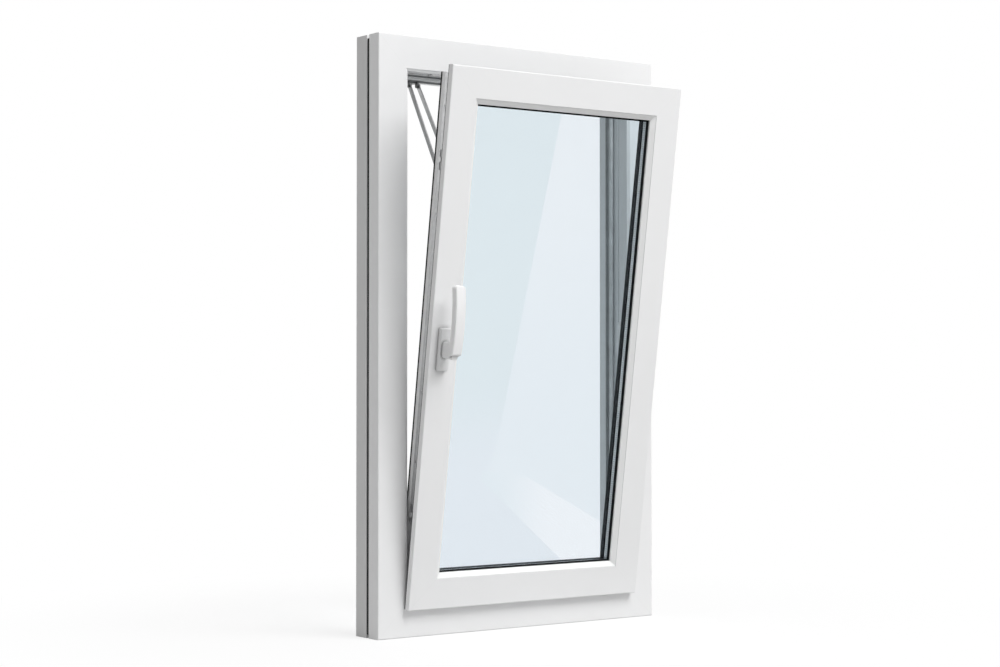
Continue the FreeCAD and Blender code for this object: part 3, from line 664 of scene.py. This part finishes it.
def dress_nodes():
    """Gives every construction node the finish of its slot."""
    plastics = plastic_finishes()
    finishes = {
        "seal_rubber": rubber("seal_rubber", SEAL_BLACK, roughness=0.65, gloss=0.2),
        "seal_grey": rubber("seal_grey", SEAL_GREY, roughness=0.5, gloss=0.4),
        "gasket_rubber": rubber("gasket_rubber", GASKET_BLACK, roughness=0.6, gloss=0.15),
        "spacer_metal": spacer_metal(),
        "clear_glass": clear_glass(),
        "handle_white": powder_coat("handle_powder_coat", HANDLE_WHITE),
        "stay_steel": zinc_steel("stay_zinc", ARM_ZINC, BRUSHED_UPRIGHT),
        # The bearings' lighter zinc is painted light.
        "bearing_steel": zinc_steel("bearing_zinc_painted_light", BEARING_LIT_ZINC, BRUSHED_LEVEL),
    }
    single = {
        # The handle base's darker coat is the lever's painted shadow.
        "handle_base": powder_coat("base_coat_painted_shadow", BASE_SHADED_WHITE),
        # The stay bracket's dark zinc is painted shade under the head.
        "stay_bracket": zinc_steel("bracket_zinc_painted_shade", BRACKET_SHADED_ZINC, BRUSHED_LEVEL),
    }
    slots = {part["node"]: part["material_slot"] for part in frame["record"]["subparts"]}
    for name, node in frame["nodes"].items():
        slot = slots[name]
        material = single.get(name) or plastics.get((slot, is_level(name))) or finishes[slot]
        node.data.materials.clear()
        node.data.materials.append(material)
        if slot == "clear_glass":
            node.visible_shadow = False
    return finishes


def tipped_matrix():
    """Moves a point of the closed sash to where the tilted sash has it."""
    turn = Matrix.Rotation(TILT, 4, "X")
    return Matrix.Translation(TILT_AXIS) @ turn @ Matrix.Translation(-TILT_AXIS)


def put_in(name, mesh, material):
    """Puts a finished mesh in as a piece of the window."""
    mesh.materials.append(material)
    piece = bpy.data.objects.new(name, mesh)
    bpy.context.scene.collection.objects.link(piece)
    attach(piece, "root")


def rubber_trim(name, section, edges, move, material):
    """Rubber trim that runs all round the sash or the frame, its corners mitred."""
    half_width, low, high = edges
    points = []
    for side_x, side_z in ((-1, -1), (1, -1), (1, 1), (-1, 1)):
        for inward, y in section:
            x = side_x * (half_width - inward)
            z = low + inward if side_z < 0 else high - inward
            points.append(move @ (Vector((x, y, z)) * MM))
    count = len(section)
    faces = []
    for corner in range(4):
        here = corner * count
        there = (corner + 1) % 4 * count
        for index in range(count):
            after = (index + 1) % count
            faces.append((here + index, here + after, there + after, there + index))
    mesh = bpy.data.meshes.new(name)
    mesh.from_pydata(points, [], faces)
    whole = bmesh.new()
    whole.from_mesh(mesh)
    bmesh.ops.recalc_face_normals(whole, faces=whole.faces)
    whole.to_mesh(mesh)
    whole.free()
    put_in(name, mesh, material)


def rubber_trims(finishes):
    """The rubber trims of the sash and the frame."""
    tilted = tipped_matrix()
    still = Matrix.Identity(4)
    lip_grey = rubber("lip_grey", LIP_GREY, roughness=0.6, gloss=0.2)
    for name, section, edges, move, material, slot in (
        ("glass_lip", GLASS_LIP, SASH_EDGES, tilted, finishes["gasket_rubber"], "gasket_rubber"),
        ("sash_heel_lip", HEEL_LIP, SASH_EDGES, tilted, finishes["seal_rubber"], "seal_rubber"),
        ("frame_leg_lip", LEG_LIP, FRAME_EDGES, still, lip_grey, "seal_grey"),
    ):
        rubber_trim(name, section, edges, move, material)


def recess_outline():
    """Points round the cross of a driver's recess."""
    quarter = (
        (RECESS_ARM, -RECESS_HALF_WIDTH), (RECESS_ARM, RECESS_HALF_WIDTH),
        (RECESS_HALF_WIDTH, RECESS_HALF_WIDTH),
    )
    corners = []
    for turn in range(4):
        spin = Matrix.Rotation(turn * math.pi / 2, 2)
        corners += [spin @ Vector(corner) for corner in quarter]
    points = []
    for index, corner in enumerate(corners):
        following = corners[(index + 1) % len(corners)]
        points += [corner.lerp(following, step / RECESS_STEPS) for step in range(RECESS_STEPS)]
    return points


def screw_head(mesh, place):
    """Adds a screw head whose axis is the Z axis of its place."""
    cross = recess_outline()
    count = len(cross)
    start = math.atan2(cross[0].y, cross[0].x)
    circle = [
        Vector((math.cos(angle), math.sin(angle)))
        for angle in (start + 2 * math.pi * step / count for step in range(count))
    ]
    shoulder = (RECESS_ARM + SCREW_RADIUS) / 2
    levels = (
        (circle, SCREW_RADIUS, -SCREW_SINK),
        (circle, SCREW_RADIUS, SCREW_RIM),
        (circle, shoulder, SHOULDER_SHARE * SCREW_DOME),
        (cross, 1.0, SCREW_DOME),
        (cross, RECESS_TAPER, SCREW_DOME - RECESS_DEPTH),
    )
    rings = [
        [mesh.verts.new(place @ Vector((size * p.x, size * p.y, height))) for p in points]
        for points, size, height in levels
    ]
    for outer, inner in zip(rings, rings[1:]):
        for index in range(count):
            after = (index + 1) % count
            mesh.faces.new((outer[index], outer[after], inner[after], inner[index]))
    mesh.faces.new(reversed(rings[0]))
    bottom = mesh.verts.new(place @ Vector((0, 0, SCREW_DOME - RECESS_POINT * RECESS_DEPTH)))
    for index in range(count):
        mesh.faces.new((rings[-1][index], rings[-1][(index + 1) % count], bottom))


def frame_screw_places():
    """Point in millimetres and direction of each screw on the frame."""
    right, left, up, down = (1, 0, 0), (-1, 0, 0), (0, 0, 1), (0, 0, -1)
    places = []
    for z in LEFT_KEEPS_Z:
        places += [((-REBATE_X, PLATE_MIDDLE_Y, z + step), right) for step in KEEP_PAIR]
    places += [((REBATE_X, PLATE_MIDDLE_Y, RIGHT_KEEP_Z + step), left) for step in KEEP_PAIR]
    places += [((TOP_KEEP_X + step, PLATE_MIDDLE_Y, REBATE_HIGH), down) for step in KEEP_PAIR]
    for x in SILL_BEARINGS_X:
        places += [((x + step, STRIP_MIDDLE_Y, REBATE_LOW), up) for step in BEARING_PAIR]
    places.append(((TOP_BEARING_X, PLATE_MIDDLE_Y, REBATE_HIGH), down))
    places += [((x, BRACKET_Y, BRACKET_Z), down) for x in BRACKET_SCREWS_X]
    return places


def sash_screw_places():
    """Point in millimetres and direction of each screw on the closed sash."""
    right, left, outward, up, down = (1, 0, 0), (-1, 0, 0), (0, 1, 0), (0, 0, 1), (0, 0, -1)
    places = [((STAY_RAIL_X, STAY_RAIL_Y, z), outward) for z in STAY_RAIL_SCREWS_Z]
    for z in SIDE_SCREWS_Z:
        places.append(((-SASH_EDGE_X, STRIP_MIDDLE_Y, z), left))
        places.append(((SASH_EDGE_X, STRIP_MIDDLE_Y, z), right))
    places += [((x, STRIP_MIDDLE_Y, SASH_EDGE_HIGH), up) for x in TOP_SCREWS_X]
    places += [((x, STRIP_MIDDLE_Y, SASH_EDGE_LOW), down) for x in BOTTOM_SCREWS_X]
    return places


def screws(material):
    """The screws of the hardware, as one piece on the frame and one on the sash."""
    for name, places, move in (
        ("frame_screws", frame_screw_places(), Matrix.Identity(4)),
        ("sash_screws", sash_screw_places(), tipped_matrix()),
    ):
        heads = bmesh.new()
        for number, (point, direction) in enumerate(places):
            turn = Vector(direction).to_track_quat("Z", "Y").to_matrix().to_4x4()
            spin = Matrix.Rotation(SCREW_TURN * number, 4, "Z")
            screw_head(heads, move @ Matrix.Translation(Vector(point) * MM) @ turn @ spin)
        mesh = bpy.data.meshes.new(name)
        heads.to_mesh(mesh)
        heads.free()
        put_in(name, mesh, material)


def glow(tree, colour):
    """Output of a shader that shows a colour just as it is written."""
    return add(tree, "ShaderNodeEmission", None, {"Color": colour, "Strength": 1.0}).outputs[0]


def seen_only(tree, seen, hidden):
    """Mixes two shaders: one for rays from the camera, mirrors and glass, one for all others."""
    path = add(tree, "ShaderNodeLightPath").outputs
    first = math_node(tree, "MAXIMUM", path["Is Camera Ray"], path["Is Glossy Ray"])
    share = math_node(tree, "MAXIMUM", first, path["Is Transmission Ray"])
    return add(tree, "ShaderNodeMixShader", None, {0: share, 1: hidden, 2: seen}).outputs[0]


def white_world():
    """Even soft light, white where it is seen."""
    world = bpy.data.worlds.new("studio")
    world.use_nodes = True
    tree = world.node_tree
    tree.nodes.clear()
    seen = add(tree, "ShaderNodeBackground", None, {"Color": WHITE, "Strength": 1.0})
    even = add(tree, "ShaderNodeBackground", None, {"Color": WHITE, "Strength": WORLD_LEVEL})
    end = add(tree, "ShaderNodeOutputWorld")
    tree.links.new(seen_only(tree, seen.outputs[0], even.outputs[0]), end.inputs["Surface"])
    bpy.context.scene.world = world


def stage_sheet(name, corners):
    """A flat sheet of the stage through its corners (x, y, z), with an empty material.

    Gives the sheet, its material's tree and the socket that takes the surface.
    """
    mesh = bpy.data.meshes.new(name)
    mesh.from_pydata(corners, [], [range(len(corners))])
    sheet = bpy.data.objects.new(name, mesh)
    bpy.context.scene.collection.objects.link(sheet)
    material = bpy.data.materials.new(name)
    material.use_nodes = True
    tree = material.node_tree
    tree.nodes.clear()
    mesh.materials.append(material)
    return sheet, tree, add(tree, "ShaderNodeOutputMaterial").inputs["Surface"]


def pale_floor():
    """White floor that keeps the window's soft shadow near its foot."""
    half = FLOOR_HALF
    corners = [(-half, -half, 0.0), (half, -half, 0.0), (half, half, 0.0), (-half, half, 0.0)]
    _, tree, surface = stage_sheet("floor", corners)
    place = add(tree, "ShaderNodeTexCoord").outputs["Object"]
    far = add(tree, "ShaderNodeVectorMath", {"operation": "LENGTH"}, {0: place}).outputs["Value"]
    share = add(tree, "ShaderNodeMapRange", {"interpolation_type": "SMOOTHSTEP"}, {
        "Value": far, "From Min": FADE_START, "From Max": FADE_END,
        "To Min": LIT_SHARE, "To Max": 0.0,
    })
    lit = add(tree, "ShaderNodeBsdfDiffuse", None, {"Color": FLOOR_LIT})
    dull = add(tree, "ShaderNodeBsdfDiffuse", None, {"Color": FLOOR_DULL})
    seen = add(tree, "ShaderNodeMixShader", None, {
        0: share.outputs[0], 1: glow(tree, WHITE), 2: lit.outputs[0],
    })
    tree.links.new(seen_only(tree, seen.outputs[0], dull.outputs[0]), surface)


def dark_cloth():
    """Dark cloth on the floor in front of the window, seen only where something mirrors it."""
    cloth, tree, surface = stage_sheet("dark_cloth", [(x, y, CLOTH_HEIGHT) for x, y in DARK_CLOTH])
    mirrored = add(tree, "ShaderNodeLightPath").outputs["Glossy Depth"]
    share = math_node(tree, "MINIMUM", mirrored, 1.0)
    clear = add(tree, "ShaderNodeBsdfTransparent")
    mix = add(tree, "ShaderNodeMixShader", None, {
        0: share, 1: clear.outputs[0], 2: glow(tree, CLOTH_TONE),
    })
    tree.links.new(mix.outputs[0], surface)
    cloth.visible_camera = False
    cloth.visible_diffuse = False
    cloth.visible_shadow = False


def pale_card(name, back, coordinate, span, tones, corners):
    """Upright card behind the window, seen only through the glass.

    Its tone changes from the first to the second over a span of one coordinate.
    """
    card, tree, surface = stage_sheet(name, [(x, back, z) for x, z in corners])
    place = add(tree, "ShaderNodeTexCoord").outputs["Object"]
    split = add(tree, "ShaderNodeSeparateXYZ", None, {0: place})
    share = add(tree, "ShaderNodeMapRange", {"interpolation_type": "SMOOTHSTEP"}, {
        "Value": split.outputs[coordinate], "From Min": span[0], "From Max": span[1],
    })
    tone = mix_colours(tree, share.outputs[0], tones[0], tones[1])
    # On the slant and low cards this glowing tone is the painted reflection streaks on the glass.
    tree.links.new(glow(tree, tone), surface)
    card.visible_camera = False
    card.visible_diffuse = False
    card.visible_glossy = False
    card.visible_shadow = False


def soft_lamp():
    """Large square lamp that lights a face turned to it at LAMP_LEVEL."""
    lamp = bpy.data.lights.new("soft_lamp", "AREA")
    lamp.shape = "SQUARE"
    lamp.size = LAMP_SIZE
    lamp.energy = LAMP_LEVEL * (math.pi * LAMP_DISTANCE) ** 2
    item = bpy.data.objects.new("soft_lamp", lamp)
    bpy.context.scene.collection.objects.link(item)
    item.visible_glossy = False
    towards = Vector((
        math.sin(LAMP_AZIMUTH) * math.cos(LAMP_HEIGHT),
        -math.cos(LAMP_AZIMUTH) * math.cos(LAMP_HEIGHT),
        math.sin(LAMP_HEIGHT),
    ))
    place = OBJECT_MIDDLE + towards * LAMP_DISTANCE
    item.location = place
    item.rotation_mode = "QUATERNION"
    item.rotation_quaternion = (OBJECT_MIDDLE - place).to_track_quat("-Z", "Y")


def photo_camera():
    """Camera at the photograph's viewing angle."""
    data = bpy.data.cameras.new("camera")
    data.sensor_width = SENSOR
    data.lens = FOCAL_PIXELS * SENSOR / IMAGE_WIDTH
    data.clip_end = CAMERA_REACH
    item = bpy.data.objects.new("camera", data)
    bpy.context.scene.collection.objects.link(item)
    item.location = CAMERA_PLACE
    item.rotation_euler = (math.pi / 2 + CAMERA_RISE, 0.0, CAMERA_TURN)
    bpy.context.scene.camera = item


finishes = dress_nodes()
screws(finishes["bearing_steel"])
rubber_trims(finishes)
white_world()
pale_floor()
dark_cloth()
for card in PALE_CARDS:
    pale_card(*card)
soft_lamp()
photo_camera()
bpy.context.scene.view_settings.view_transform = "Standard"
